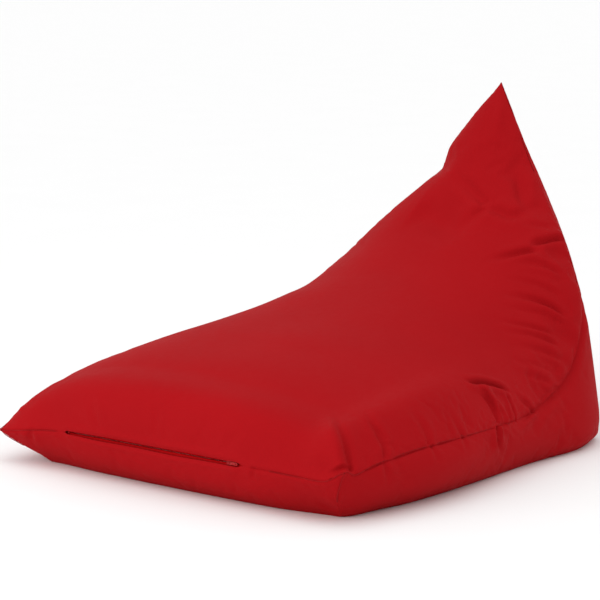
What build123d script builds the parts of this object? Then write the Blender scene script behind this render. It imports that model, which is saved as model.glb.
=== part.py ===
from build123d import *
import os
import numpy as np

# Pyramid bean bag lounger: a sewn cover of six panels over an inner bag of
# bead filling, with a concealed coil zip in the front seam.
# Millimetres, +Z up, +Y towards the backrest, origin on the floor under the
# middle of the bag's bounding box.

# ---------------------------------------------------------------- dimensions
WIDTH = 1050.0          # ear to ear across the front corners
Y_SHIFT = 643.5         # front seam to the middle of the bag's depth
CLOTH = 1.2             # modelled cover thickness
SEAM_GAP = 3.0          # panel edge to seam line
SEAM_HALF = 1.1         # half section of a seam run
LINER_CLOTH = 0.8
LINER_GAP = 1.5
V_TIP = 0.9965          # where the panels stop at the peak
V_GUSSET = 0.965        # where the side panels stop
V_JOIN = 0.985          # where the two seams of a side panel meet

ZIP_X0, ZIP_X1 = -309.0, 250.0   # ends of the slit
SLIT_HALF = 6.0         # half height of the slit at the lips
ZIP_DEPTH = 8.6         # tape plane behind the lips
TAPE_T = 0.6
TAPE_Z0, TAPE_Z1 = 0.95, 15.0
COIL_Z0, COIL_Z1 = 0.8, 3.2
COIL_T = 2.0
FACING_T = 0.8
SLIDER_L, SLIDER_H = 13.0, 9.4
SLIDER_X = 203.0        # parked position of the slider
PULL_L, PULL_W, PULL_T = 27.0, 6.6, 1.2
PIN_R = 0.6

# Section lines of the bag in units of its width, from the front (v = 0) to
# the peak (v = 1): the seat seam, the crown line and the base/back edge.
VK = np.array([0, .05, .16, .34, .52, .64, .74, .79, .84, .93, 1.0])
SEAT_SEAM = np.array([[.500, .000, .088], [.505, .060, .108], [.511, .180, .124],
                      [.512, .350, .129], [.488, .565, .125], [.440, .785, .128],
                      [.408, .968, .205], [.3815, 1.0525, .3066], [.306, 1.092, .425], [.145, 1.155, .615],
                      [.0, 1.219, .836]])
CROWN = np.array([[-.006, .0945], [.000, .188], [.120, .250], [.326, .297],
                  [.566, .338], [.767, .394], [.898, .455], [.9463, .4842], [.990, .520],
                  [1.075, .620], [1.219, .836]])
EDGE = np.array([[.404, .062, .0], [.432, .105, .0], [.460, .220, .0],
                 [.462, .420, .0], [.444, .660, .0], [.420, .900, .0],
                 [.385, 1.080, .0], [.366, 1.1178, .0969], [.330, 1.140, .262], [.182, 1.190, .516],
                 [.0, 1.219, .836]])
SIDE_BULGE = np.array([.0, .02, .03, .034, .022, .030, .036, .020, .006, .003, .0])
BACK_BULGE = np.array([0, .05, .07, .04, 0])
FRONT_BULGE = .016
CROWN_P, CROWN_Q = 2.3, .62


# ------------------------------------------------------------------- shape
def spline(vk, pk, v, monotone=False):
    """C1 cubic through knots; slopes held flat where a monotone curve stops."""
    pk = np.asarray(pk, float)
    flat = pk.ndim == 1
    if flat:
        pk = pk[:, None]
    v = np.asarray(v, float)
    n = len(vk)
    d = np.diff(pk, axis=0) / np.diff(vk)[:, None]
    m = np.zeros_like(pk)
    m[0], m[-1] = d[0], d[-1]
    for i in range(1, n - 1):
        h0, h1 = vk[i] - vk[i - 1], vk[i + 1] - vk[i]
        m[i] = (h1 * d[i - 1] + h0 * d[i]) / (h0 + h1)
        if monotone:
            m[i] = np.where(d[i - 1] * d[i] <= 1e-12, 0, m[i])
    i = np.clip(np.searchsorted(vk, v, side="right") - 1, 0, n - 2)
    h = vk[i + 1] - vk[i]
    t = ((v - vk[i]) / h)[..., None]
    h = h[..., None]
    r = ((2 * t**3 - 3 * t**2 + 1) * pk[i] + (t**3 - 2 * t**2 + t) * h * m[i]
         + (-2 * t**3 + 3 * t**2) * pk[i + 1] + (t**3 - t**2) * h * m[i + 1])
    return r[..., 0] if flat else r


def to_mm(p):
    return p * WIDTH - np.array([0, Y_SHIFT, 0])


class Bag:
    """One closed skin: seat, front, sides, back and base share its lines."""

    def __init__(self, seam, crown, edge, side_b, back_b, front_b, floor, v_join=V_JOIN):
        self.s, self.c, self.e = seam, crown, edge
        self.sb, self.bb, self.fb = side_b, back_b, front_b
        self.floor = floor          # height of the base in mm
        self.vj = v_join

    def S(self, v):
        return spline(VK, self.s, v)

    def C(self, v):
        return spline(VK, self.c, v)

    def E(self, v):
        v = np.asarray(v, float)
        e = spline(VK, self.e, v)
        e[..., 2] = spline(VK, self.e[:, 2], v, True)
        # the side panel narrows to nothing just below the peak
        f = np.clip((self.vj - v) / .075, 0, 1)[..., None]
        f = f * f * (3 - 2 * f)
        return self.S(v) * (1 - f) + e * f

    def seat(self, a, v):
        """a is the section angle, -pi/2..pi/2 from the left to the right seam"""
        a, v = np.broadcast_arrays(np.asarray(a, float), np.asarray(v, float))
        u = np.sin(a)
        pr = np.clip(1 - np.abs(u)**CROWN_P, 0, 1)**CROWN_Q
        s, c = self.S(v), self.C(v)
        return to_mm(np.stack([s[..., 0] * u, s[..., 1] + (c[..., 0] - s[..., 1]) * pr,
                               s[..., 2] + (c[..., 1] - s[..., 2]) * pr], -1))

    def side(self, w, v):
        w, v = np.broadcast_arrays(np.asarray(w, float), np.asarray(v, float))
        s, e = self.S(v), self.E(v)
        p = s * (1 - w)[..., None] + e * w[..., None]
        d = 1e-3
        t = self.S(np.clip(v + d, 0, 1)) - self.S(np.clip(v - d, 0, 1))
        n = np.stack([t[..., 1], -t[..., 0], 0 * t[..., 0]], -1)
        n /= np.maximum(np.linalg.norm(n, axis=-1, keepdims=True), 1e-9)
        b = spline(VK, self.sb, v)[..., None]
        p = p + n * b * (np.clip(4 * w * (1 - w), 0, 1)[..., None])**.9
        p = to_mm(p)
        p[..., 2] = np.maximum(p[..., 2], self.floor)
        return p

    def front(self, u, w):
        u, w = np.broadcast_arrays(np.asarray(u, float), np.asarray(w, float))
        a = np.arcsin(np.clip(u, -1, 1))
        top = self.seat(a, 0 * a)
        low = to_mm(np.stack([self.e[0, 0] * u, self.e[0, 1] - .010 * (1 - u**2), 0 * u], -1))
        low[..., 2] = self.floor
        p = top * (1 - w)[..., None] + low * w[..., None]
        p[..., 1] -= self.fb * WIDTH * 4 * w * (1 - w) * (1 - u**4)
        return p

    def back(self, u, v):
        """v runs 0..1 from the base to the peak"""
        u, v = np.broadcast_arrays(np.asarray(u, float), np.asarray(v, float))
        e = self.E(VK[6] + (1 - VK[6]) * v)
        b = spline(np.linspace(0, 1, 5), self.bb, v)
        pr = np.clip(1 - np.abs(u)**2.2, 0, 1)**.8
        p = to_mm(np.stack([e[..., 0] * u, e[..., 1] + b * pr, e[..., 2]], -1))
        p[..., 2] = np.maximum(p[..., 2], self.floor)
        return p


def normals(fn, a, b, da=2e-3, db=2e-3):
    ta = fn(a + da, b) - fn(a - da, b)
    tb = fn(a, b + db) - fn(a, b - db)
    n = np.cross(ta, tb)
    return n / np.maximum(np.linalg.norm(n, axis=-1, keepdims=True), 1e-9)


def trim_param(fn, lo, hi, dist, n=160):
    """parameter at an arc length dist from lo along fn(t)"""
    t = lo + (hi - lo) * np.linspace(0, 1, n)**2
    p = fn(t)
    s = np.concatenate([[0], np.cumsum(np.linalg.norm(np.diff(p, axis=0), axis=1))])
    return float(np.interp(dist, s, t))


# ------------------------------------------------------------- solid builders
def facet_solid(points, tris):
    """Closed solid of flat facets; points that coincide are one corner."""
    key, uniq, idx = {}, [], []
    for p in points:
        k = tuple(np.round(p, 4))
        if k not in key:
            key[k] = len(uniq)
            uniq.append(tuple(float(c) for c in p))
        idx.append(key[k])
    clean = []
    for t in tris:
        a, b, c = (idx[i] for i in t)
        if len({a, b, c}) == 3:
            clean.append((a, b, c))
    q = np.array(uniq)
    vol = sum(np.dot(q[a], np.cross(q[b], q[c])) for a, b, c in clean)
    if vol < 0:
        clean = [(a, c, b) for a, b, c in clean]
    faces = [Face(Wire.make_polygon([uniq[a], uniq[b], uniq[c]], close=True)) for a, b, c in clean]
    solid = Solid(Shell(faces))
    return solid


def grid_tris(n, m, start=0, flip=False):
    out = []
    for i in range(n - 1):
        for j in range(m - 1):
            a, b = start + i * m + j, start + (i + 1) * m + j
            c, d = b + 1, a + 1
            # the diagonal leans the same way on both halves of the bag
            if i < (n - 1) / 2:
                q = [(a, b, d), (b, c, d)]
            else:
                q = [(a, b, c), (a, c, d)]
            out += [(t[0], t[2], t[1]) if flip else t for t in q]
    return out


def panel_solid(outer, inner):
    """Thin panel between two grids, closed round its rim."""
    n, m, _ = outer.shape
    points = np.concatenate([outer.reshape(-1, 3), inner.reshape(-1, 3)])
    tris = grid_tris(n, m) + grid_tris(n, m, n * m, True)
    rim = ([(i, 0) for i in range(n)] + [(n - 1, j) for j in range(1, m)]
           + [(i, m - 1) for i in range(n - 2, -1, -1)] + [(0, j) for j in range(m - 2, 0, -1)])
    k = len(rim)
    for r in range(k):
        a = rim[r][0] * m + rim[r][1]
        b = rim[(r + 1) % k][0] * m + rim[(r + 1) % k][1]
        tris += [(b, a, a + n * m), (b, a + n * m, b + n * m)]
    return facet_solid(points, tris)


def box(x0, x1, y0, y1, z0, z1):
    return Pos((x0 + x1) / 2, (y0 + y1) / 2, (z0 + z1) / 2) * Box(x1 - x0, y1 - y0, z1 - z0)


def smooth(t):
    t = np.clip(t, 0, 1)
    return t * t * (3 - 2 * t)


def lip(x, x0, x1, half, gap, run=26.0):
    """distance of a lip from the seam line: the slit tapers out at its ends"""
    return gap + (half - gap) * smooth((x - x0 + run) / run) * smooth((x1 + run - x) / run)


# ---------------------------------------------------------------- panels
HALF = np.pi / 2


def panel_seat(bag, t, gap, cols, rows, lips):
    nu, nv = len(cols), len(rows)
    A = np.zeros((nu, nv))
    V = np.zeros((nu, nv))
    for i, u in enumerate(cols):
        a = np.arcsin(u * .9995)
        x = float(bag.seat(a, 0.0)[0])
        v0 = trim_param(lambda q: bag.seat(np.full_like(q, a), q), 0, .12, lips(x))
        V[i] = np.maximum(rows, v0 + .002 * np.arange(nv))
        V[i, 0] = v0
    for i, u in enumerate(cols):
        for j in range(nv):
            v = V[i, j]
            am = trim_param(lambda q: bag.seat(q, np.full_like(q, v)), HALF, 0, gap)
            A[i, j] = np.clip(np.arcsin(u), -am, am)
    P = bag.seat(A, V)
    N = normals(bag.seat, A, V)
    N *= np.sign(N[nu // 2, nv // 3, 2])
    return P, P - t * N


def panel_side(bag, t, gap, rows, nw):
    nv = len(rows)
    v0 = trim_param(lambda q: bag.side(np.full_like(q, .5), q), 0, .12, gap)
    V = np.tile(np.maximum(rows, v0), (nw, 1))
    Wd = np.zeros((nw, nv))
    for j in range(nv):
        v = V[0, j]
        lo = trim_param(lambda q: bag.side(q, np.full_like(q, v)), 0, .5, gap)
        hi = trim_param(lambda q: bag.side(q, np.full_like(q, v)), 1, .5, gap)
        Wd[:, j] = lo + (hi - lo) * np.linspace(0, 1, nw)
    P = bag.side(Wd, V)
    N = normals(bag.side, Wd, V)
    N *= np.sign(N[nw // 2, nv // 3, 0])
    return P, P - t * N


def panel_front(bag, t, gap, cols, nw, lips):
    nu = len(cols)
    U = np.zeros((nu, nw))
    Wd = np.zeros((nu, nw))
    for i, c in enumerate(cols):
        u = c * (1 - gap / (bag.s[0, 0] * WIDTH))
        x = float(bag.front(u, 0.0)[0])
        lo = trim_param(lambda q: bag.front(np.full_like(q, u), q), 0, .5, lips(x))
        hi = trim_param(lambda q: bag.front(np.full_like(q, u), q), 1, .5, gap)
        Wd[i] = lo + (hi - lo) * np.linspace(0, 1, nw)
        U[i] = u
    P = bag.front(U, Wd)
    N = normals(bag.front, U, Wd)
    N *= -np.sign(N[nu // 2, nw // 2, 1])
    return P, P - t * N


def panel_back(bag, t, gap, rows, nu):
    nv = len(rows)
    vb = (np.asarray(rows) - VK[6]) / (1 - VK[6])
    v0 = trim_param(lambda q: bag.back(np.zeros_like(q), q), 0, .3, gap)
    V = np.tile(np.maximum(vb, v0), (nu, 1))
    U = np.zeros((nu, nv))
    for j in range(nv):
        v = V[0, j]
        um = trim_param(lambda q: bag.back(q, np.full_like(q, v)), 1, 0, gap)
        U[:, j] = np.clip(np.sin(np.linspace(-1, 1, nu) * HALF), -um, um)
    P = bag.back(U, V)
    N = normals(bag.back, U, V)
    N *= np.sign(N[nu // 2, nv // 2, 1])
    return P, P - t * N


def panel_base(bag, t, gap, rows, cols):
    """Flat floor panel inside the base edge."""
    v = np.array([r for r in rows if r < VK[6] - 1e-6] + [VK[6]])
    r = to_mm(bag.E(v))[:, :2]
    d = np.gradient(r, axis=0)
    nrm = np.stack([d[:, 1], -d[:, 0]], 1)
    nrm /= np.linalg.norm(nrm, axis=1, keepdims=True)
    r = r - nrm * gap
    r[-1, 1] -= gap
    r[0] = [r[0, 0] - gap, r[0, 1] + gap]
    r = r[np.concatenate([[True], np.diff(r[:, 1]) > 4])]
    u = np.array(cols)
    f = bag.front(u, np.ones_like(u))[:, :2] + np.array([0, gap])
    f = f[np.abs(f[:, 0]) < r[0, 0] - 20]
    loop = list(f) + list(r) + list(r[::-1] * np.array([-1, 1]))
    wire = Wire.make_polygon([(float(p[0]), float(p[1]), bag.floor) for p in loop], close=True)
    return Solid.extrude(Face(wire), Vector(0, 0, t))


def seam_run(path, out, half=SEAM_HALF):
    """square run of stitched cloth edges and thread along a seam"""
    path, out = np.asarray(path, float), np.asarray(out, float)
    tan = np.gradient(path, axis=0)
    tan /= np.linalg.norm(tan, axis=1, keepdims=True)
    out = out - (out * tan).sum(1, keepdims=True) * tan
    out /= np.linalg.norm(out, axis=1, keepdims=True)
    side = np.cross(tan, out)
    top = np.stack([path + out * half + side * q for q in (-half, half)])
    low = np.stack([path - out * half + side * q for q in (-half, half)])
    return panel_solid(top, low)


def closed_bag(bag, cols, rows, nw):
    """One closed solid of the whole skin, used for the filling."""
    nu, nv = len(cols), len(rows)
    a = np.arcsin(cols)
    seat = bag.seat(a[:, None], np.asarray(rows)[None])
    side = bag.side(np.linspace(0, 1, nw)[:, None], np.asarray(rows)[None])
    side[0] = seat[-1]
    front = bag.front(np.asarray(cols)[:, None], np.linspace(0, 1, nw)[None])
    front[:, 0] = seat[:, 0]
    front[-1] = side[:, 0]
    front[0] = front[-1] * np.array([-1, 1, 1])
    jb = [j for j in range(nv) if rows[j] >= VK[6] - 1e-6]
    nb = 9
    ub = np.sin(np.linspace(-1, 1, nb) * HALF)
    back = bag.back(ub[:, None], ((np.asarray(rows)[jb] - VK[6]) / (1 - VK[6]))[None])
    for k, j in enumerate(jb):
        back[-1, k] = side[-1, j]
        back[0, k] = side[-1, j] * np.array([-1, 1, 1])
    left = side * np.array([-1, 1, 1])
    points, tris = [], []

    def add(g, flip):
        s = sum(len(p) for p in points)
        points.append(g.reshape(-1, 3))
        tris.extend(grid_tris(g.shape[0], g.shape[1], s, flip))

    add(seat, False)
    add(side, False)
    add(left, True)
    add(front, True)
    add(back, True)
    loop = ([front[i, -1] for i in range(nu)] + [side[-1, j] for j in range(1, jb[0] + 1)]
            + [back[i, 0] for i in range(nb - 2, 0, -1)] + [left[-1, j] for j in range(jb[0], 0, -1)])
    s = sum(len(p) for p in points)
    mid = np.array([[0, np.mean([p[1] for p in loop]), bag.floor]])
    points.append(np.concatenate([np.array(loop), mid]))
    k = len(loop)
    tris.extend([(s + k, s + (i + 1) % k, s + i) for i in range(k)])
    return facet_solid(np.concatenate(points), tris)


def mirror_grid(g):
    return g * np.array([-1, 1, 1])


def write(name, *solids):
    shape = solids[0] if len(solids) == 1 else Compound(children=list(solids))
    export_step(shape, f"parts/{name}.step")


os.makedirs("parts", exist_ok=True)

# ------------------------------------------------------------- outer cover
ROWS = np.array([0, .03, .08, .16, .25, .34, .43, .52, .60, .67, .71, VK[6], .76, .79, .84, .89, .93, V_GUSSET, .985, V_TIP])
R_SIDE = ROWS[ROWS <= V_GUSSET + 1e-6]
R_BACK = ROWS[ROWS >= VK[6] - 1e-6]
XW = .5 * WIDTH
COLS = np.array([-1, -.965, -.86, (ZIP_X0 - 26) / XW, ZIP_X0 / XW, -.30, .0, .25, ZIP_X1 / XW,
                 (ZIP_X1 + 26) / XW, .72, .86, .965, 1])
cover = Bag(SEAT_SEAM, CROWN, EDGE, SIDE_BULGE, BACK_BULGE, FRONT_BULGE, 0.0)


def cover_lip(x):
    return lip(x, ZIP_X0, ZIP_X1, SLIT_HALF, SEAM_GAP)


write("seat_panel", panel_solid(*panel_seat(cover, CLOTH, SEAM_GAP, COLS, ROWS, cover_lip)))
write("front_band", panel_solid(*panel_front(cover, CLOTH, SEAM_GAP, COLS, 4, cover_lip)))
so, si = panel_side(cover, CLOTH, SEAM_GAP, R_SIDE, 4)
write("right_side_panel", panel_solid(so, si))
write("left_side_panel", panel_solid(mirror_grid(so), mirror_grid(si)))
write("back_panel", panel_solid(*panel_back(cover, CLOTH, SEAM_GAP, R_BACK, 8)))
write("base_panel", panel_base(cover, CLOTH, SEAM_GAP, ROWS, COLS))

# sewn seams
BACK_HALF = .8
v = np.concatenate([[.004], R_SIDE[1:-1], [V_GUSSET - .006]])
k = len(v)
p = to_mm(cover.S(v))
out = np.tile([1.0, 0, 0], (k, 1))
write("right_seat_seam", seam_run(p, out))
write("left_seat_seam", seam_run(mirror_grid(p), mirror_grid(out)))
v = np.concatenate([[.778], R_SIDE[R_SIDE > VK[6] + .03][:-1]])
p = to_mm(cover.E(v))
out = np.tile([1.0, 1.0, 0], (len(v), 1))
write("right_back_seam", seam_run(p, out, BACK_HALF))
write("left_back_seam", seam_run(mirror_grid(p), mirror_grid(out), BACK_HALF))
runs = []
for us in ([-.990, -.965, -.86, (ZIP_X0 - 34) / XW], [(ZIP_X1 + 34) / XW, .72, .86, .965, .990]):
    u = np.array(us)
    runs.append(seam_run(cover.front(u, 0 * u), np.tile([0, -1.0, 0], (len(u), 1))))
write("front_seam", *runs)
w = np.linspace(.05, .93, 4)
p = cover.side(w, 0 * w)
out = np.tile([1.0, -1.0, 0], (4, 1))
write("front_corner_seams", seam_run(p, out), seam_run(mirror_grid(p), mirror_grid(out)))
BASE_HALF = .8
LIFT = np.array([0, 0, BASE_HALF + .1])
v = np.concatenate([[.012], R_SIDE[(R_SIDE > .02) & (R_SIDE < VK[6] - .01)], [VK[6] - .008]])
p = to_mm(cover.E(v)) * np.array([1, 1, 0]) + LIFT
out = np.tile([1.0, 0, 0], (len(v), 1))
u = np.concatenate([[-.985], COLS[1:-1], [.985]])
pf = cover.front(u, np.ones_like(u)) + LIFT
pb = np.array([[q * EDGE[6, 0] * WIDTH, EDGE[6, 1] * WIDTH - Y_SHIFT, LIFT[2]] for q in (-.985, -.5, 0, .5, .985)])
write("base_seam", seam_run(p, out, BASE_HALF), seam_run(mirror_grid(p), mirror_grid(out), BASE_HALF),
      seam_run(pf, np.tile([0, -1.0, 0], (len(u), 1)), BASE_HALF), seam_run(pb, np.tile([0, 1.0, 0], (5, 1)), BASE_HALF))

# ------------------------------------------------- concealed zip, front seam
FRONT_Y = float(cover.front(0.0, 0.0)[1])        # lips of the slit
ZC = float(cover.front(-.06, 0.0)[2])            # height of the zip line
Y0 = FRONT_Y + ZIP_DEPTH                         # middle of the tapes
TX0, TX1 = ZIP_X0 - 8, ZIP_X1 + 8
CX0, CX1 = ZIP_X0 + 6, SLIDER_X + 8.2            # coil runs between the stops
for name, sg in (("upper", 1), ("lower", -1)):
    def zbox(x0, x1, y0, y1, z0, z1):
        za, zb = sorted((ZC + sg * z0, ZC + sg * z1))
        return box(x0, x1, y0, y1, za, zb)
    write(f"zip_{name}_tape", zbox(TX0, TX1, Y0 - TAPE_T / 2, Y0 + TAPE_T / 2, TAPE_Z0, TAPE_Z1))
    coil = zbox(CX0, CX1, Y0 - TAPE_T / 2 - .05 - COIL_T, Y0 - TAPE_T / 2 - .05, COIL_Z0, COIL_Z1)
    write(f"zip_{name}_coil", fillet(coil.edges().filter_by(Axis.X), .9))
    # the turned cloth edge: wall of the slit, then flat along the tape
    wall = zbox(TX0, TX1, FRONT_Y + 4.4, Y0 - TAPE_T / 2 - .15, SLIT_HALF - .1, SLIT_HALF - .1 + FACING_T)
    flat = zbox(TX0, TX1, Y0 - TAPE_T / 2 - .15 - FACING_T, Y0 - TAPE_T / 2 - .15, SLIT_HALF - .1, TAPE_Z1 - 1)
    write(f"zip_{name}_facing", wall + flat)
top_stops = []
for sg in (1, -1):
    za, zb = sorted((ZC + sg * .8, ZC + sg * 3.5))
    top_stops.append(box(CX1 + .3, CX1 + 3.3, Y0 - 2.75, Y0 - TAPE_T / 2 - .05, za, zb))
write("zip_top_stops", *top_stops)
write("zip_bottom_stop", box(CX0 - 4.3, CX0 - .3, Y0 - 2.75, Y0 - TAPE_T / 2 - .05, ZC - 3.4, ZC + 3.4))
tacks = [box(x, x + 2.4, FRONT_Y + 4.6, FRONT_Y + 6.0, ZC - SLIT_HALF + .4, ZC + SLIT_HALF - .4)
         for x in (ZIP_X0 - 7, ZIP_X1 + 4.6)]
write("zip_bar_tacks", *tacks)

# slider: two plates joined by a post, with a channel for the coils
HS = SLIDER_H / 2
plate_o = box(SLIDER_X - SLIDER_L / 2, SLIDER_X + SLIDER_L / 2, Y0 - 4.0, Y0 - 2.75, ZC - HS, ZC + HS)
plate_o = fillet(plate_o.edges().filter_by(Axis.Y), 2.4)
plate_i = box(SLIDER_X - SLIDER_L / 2, SLIDER_X + SLIDER_L / 2, Y0 + .75, Y0 + 1.75, ZC - HS, ZC + HS)
plate_i = fillet(plate_i.edges().filter_by(Axis.Y), 2.4)
post = box(SLIDER_X + 2.2, SLIDER_X + 5.6, Y0 - 2.75, Y0 + .75, ZC - .42, ZC + .42)
body = plate_o + plate_i + post
for sg in (1, -1):
    za, zb = sorted((ZC + sg * (HS - 1.0), ZC + sg * HS))
    body += box(SLIDER_X - 3.6, SLIDER_X + 3.6, Y0 - 2.75, Y0 - .75, za, zb)
write("zip_slider_body", body)
# crown: a bridge over the plate that holds the pull's pin
HX, HY = SLIDER_X, Y0 - 5.15
crown = box(HX - 4.2, HX + 4.2, Y0 - 7.1, Y0 - 4.02, ZC - 1.1, ZC + 1.1)
crown = fillet(crown.edges().filter_by(Axis.Z).group_by(Axis.Y)[0], 1.6)
crown -= box(HX - 2.3, HX + 2.3, HY - .95, HY + 1.0, ZC - 3, ZC + 3)
write("zip_slider_crown", crown)
# pull tab: pin through the crown, two arms and a rounded leaf
pin = Pos(HX, HY, ZC) * Cylinder(PIN_R, PULL_W)
tab = pin
for sg in (1, -1):
    za, zb = sorted((ZC + sg * 1.5, ZC + sg * PULL_W / 2))
    tab += box(HX, HX + 7.0, HY - PULL_T / 2, HY + PULL_T / 2, za, zb)
leaf = box(HX + 6.0, HX + PULL_L, HY - PULL_T / 2, HY + PULL_T / 2, ZC - PULL_W / 2, ZC + PULL_W / 2)
leaf = fillet(leaf.edges().filter_by(Axis.Y).group_by(Axis.X)[-1], 2.6)
leaf -= Pos(HX + PULL_L - 5, HY, ZC) * Rot(90, 0, 0) * Cylinder(1.3, 5)
write("zip_pull_tab", tab + leaf)

# ------------------------------------------------------- inner bag (liner)
MM = 1 / WIDTH


def crown_inset(c, d):
    t = np.gradient(c, axis=0)
    t /= np.linalg.norm(t, axis=1, keepdims=True)
    return c + np.stack([t[:, 1], -t[:, 0]], 1) * d * MM


L_SEAM = SEAT_SEAM - np.array([14 * MM, 0, 0])
L_SEAM[0], L_SEAM[1] = [.452, .034, .090], [.480, .080, .107]
L_SEAM[9], L_SEAM[10] = [.122, 1.150, .585], [.0, 1.204, .770]
L_CROWN = crown_inset(CROWN, 10)
L_CROWN[0], L_CROWN[1] = [.0160, .0945], [.018, .176]
L_CROWN[9], L_CROWN[10] = [1.088, .602], [1.204, .770]
L_EDGE = EDGE - np.array([13 * MM, 0, 0])
L_EDGE[0], L_EDGE[1], L_EDGE[6] = [.384, .084, 0], [.412, .120, 0], [.368, 1.066, 0]
L_EDGE[7], L_EDGE[8], L_EDGE[9], L_EDGE[10] = [.349, 1.104, .0969], [.312, 1.128, .262], [.160, 1.174, .490], [.0, 1.204, .770]
L_BACK = np.array([0, .044, .062, .034, 0])
liner = Bag(L_SEAM, L_CROWN, L_EDGE, SIDE_BULGE * .92, L_BACK, .010, 4.0)
L_ROWS = np.array([0, .05, .16, .30, .43, .56, .67, VK[6], .84, .93, .965, .990])
LZ0, LZ1 = -250.0, 200.0
L_COLS = np.array([-1, -.9, -.7, LZ0 / XW, 0, LZ1 / XW, .7, .9, 1])


def liner_lip(x):
    return lip(x, LZ0, LZ1, 5.6, LINER_GAP)


LR_SIDE = L_ROWS[L_ROWS <= V_GUSSET + 1e-6]
write("liner_seat", panel_solid(*panel_seat(liner, LINER_CLOTH, LINER_GAP, L_COLS, L_ROWS, liner_lip)))
write("liner_front", panel_solid(*panel_front(liner, LINER_CLOTH, LINER_GAP, L_COLS, 3, liner_lip)))
so, si = panel_side(liner, LINER_CLOTH, LINER_GAP, LR_SIDE, 4)
write("liner_right", panel_solid(so, si))
write("liner_left", panel_solid(mirror_grid(so), mirror_grid(si)))
write("liner_back", panel_solid(*panel_back(liner, LINER_CLOTH, LINER_GAP, L_ROWS[L_ROWS >= VK[6] - 1e-6], 7)))
write("liner_base", panel_base(liner, LINER_CLOTH, LINER_GAP, L_ROWS, L_COLS))

# liner zip: tapes in front of the liner's own front seam
LY0 = float(liner.front(0.0, 0.0)[1]) - 1.6
LZC = float(liner.front(0.0, 0.0)[2])
tapes, coils, stops = [], [], []
for sg in (1, -1):
    def z2(z0, z1):
        return sorted((LZC + sg * z0, LZC + sg * z1))
    tapes.append(box(LZ0 - 6, LZ1 + 6, LY0 - .25, LY0 + .25, *z2(.95, 13)))
    c = box(LZ0, LZ1 - 6, LY0 - 2.1, LY0 - .3, *z2(.8, 2.9))
    coils.append(fillet(c.edges().filter_by(Axis.X), .8))
    stops.append(box(LZ1 - 5.6, LZ1 - 3, LY0 - 2.5, LY0 - .3, *z2(.8, 3.2)))
stops.append(box(LZ0 - 3.4, LZ0 - .4, LY0 - 2.5, LY0 - .3, LZC - 3.2, LZC + 3.2))
write("liner_zip_tapes", *tapes)
write("liner_zip_coils", *coils)
write("liner_zip_stops", *stops)
LX = LZ1 - 13.0
lo_ = box(LX - 5, LX + 5, LY0 - 3.5, LY0 - 2.5, LZC - 4, LZC + 4)
li_ = box(LX - 5, LX + 5, LY0 + .7, LY0 + 1.6, LZC - 4, LZC + 4)
lo_ = fillet(lo_.edges().filter_by(Axis.Y), 1.8)
li_ = fillet(li_.edges().filter_by(Axis.Y), 1.8)
lb = lo_ + li_ + box(LX + 1.4, LX + 4.2, LY0 - 2.5, LY0 + .7, LZC - .42, LZC + .42)
for sg in (1, -1):
    za, zb = sorted((LZC + sg * 3.25, LZC + sg * 4))
    lb += box(LX - 2.8, LX + 2.8, LY0 - 2.5, LY0 - .7, za, zb)
write("liner_zip_slider", lb)

# ------------------------------------------------------------- bead filling
F_SEAM = L_SEAM - np.array([14 * MM, 0, 0])
F_SEAM[0], F_SEAM[1] = [.425, .060, .090], [.460, .095, .106]
F_SEAM[9], F_SEAM[10] = [.104, 1.145, .562], [.0, 1.192, .725]
F_CROWN = crown_inset(L_CROWN, 13)
F_CROWN[0], F_CROWN[1] = [.034, .0945], [.034, .164]
F_CROWN[9], F_CROWN[10] = [1.098, .585], [1.192, .725]
F_EDGE = L_EDGE - np.array([9 * MM, 0, 0])
F_EDGE[0], F_EDGE[1], F_EDGE[6] = [.366, .104, 0], [.396, .135, 0], [.354, 1.056, 0]
F_EDGE[7], F_EDGE[8], F_EDGE[9], F_EDGE[10] = [.335, 1.094, .095], [.298, 1.118, .258], [.142, 1.162, .470], [.0, 1.192, .725]
filling = Bag(F_SEAM, F_CROWN, F_EDGE, SIDE_BULGE * .85, np.array([0, .038, .054, .028, 0]), .006, 7.0, 1.0)
F_ROWS = np.array([0, .05, .16, .30, .43, .56, .67, VK[6], .84, .93, 1.0])
F_COLS = np.array([-1, -.93, -.72, -.38, 0, .38, .72, .93, 1])
write("bead_fill", closed_bag(filling, F_COLS, F_ROWS, 5))
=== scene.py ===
import math
import bpy
import bmesh
import numpy as np
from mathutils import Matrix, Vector


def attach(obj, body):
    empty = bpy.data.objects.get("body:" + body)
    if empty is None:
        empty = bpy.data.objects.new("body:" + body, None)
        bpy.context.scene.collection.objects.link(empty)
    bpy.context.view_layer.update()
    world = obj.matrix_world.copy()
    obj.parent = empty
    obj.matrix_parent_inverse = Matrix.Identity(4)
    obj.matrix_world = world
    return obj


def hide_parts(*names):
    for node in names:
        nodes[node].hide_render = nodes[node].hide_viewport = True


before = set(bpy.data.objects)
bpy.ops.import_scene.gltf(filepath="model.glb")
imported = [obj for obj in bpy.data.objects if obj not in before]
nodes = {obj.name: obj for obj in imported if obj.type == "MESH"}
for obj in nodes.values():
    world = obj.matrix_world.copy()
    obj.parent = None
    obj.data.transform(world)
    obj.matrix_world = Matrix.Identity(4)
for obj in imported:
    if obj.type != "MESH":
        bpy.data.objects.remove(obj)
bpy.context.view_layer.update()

scene = bpy.context.scene
rng = np.random.default_rng(7)

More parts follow.
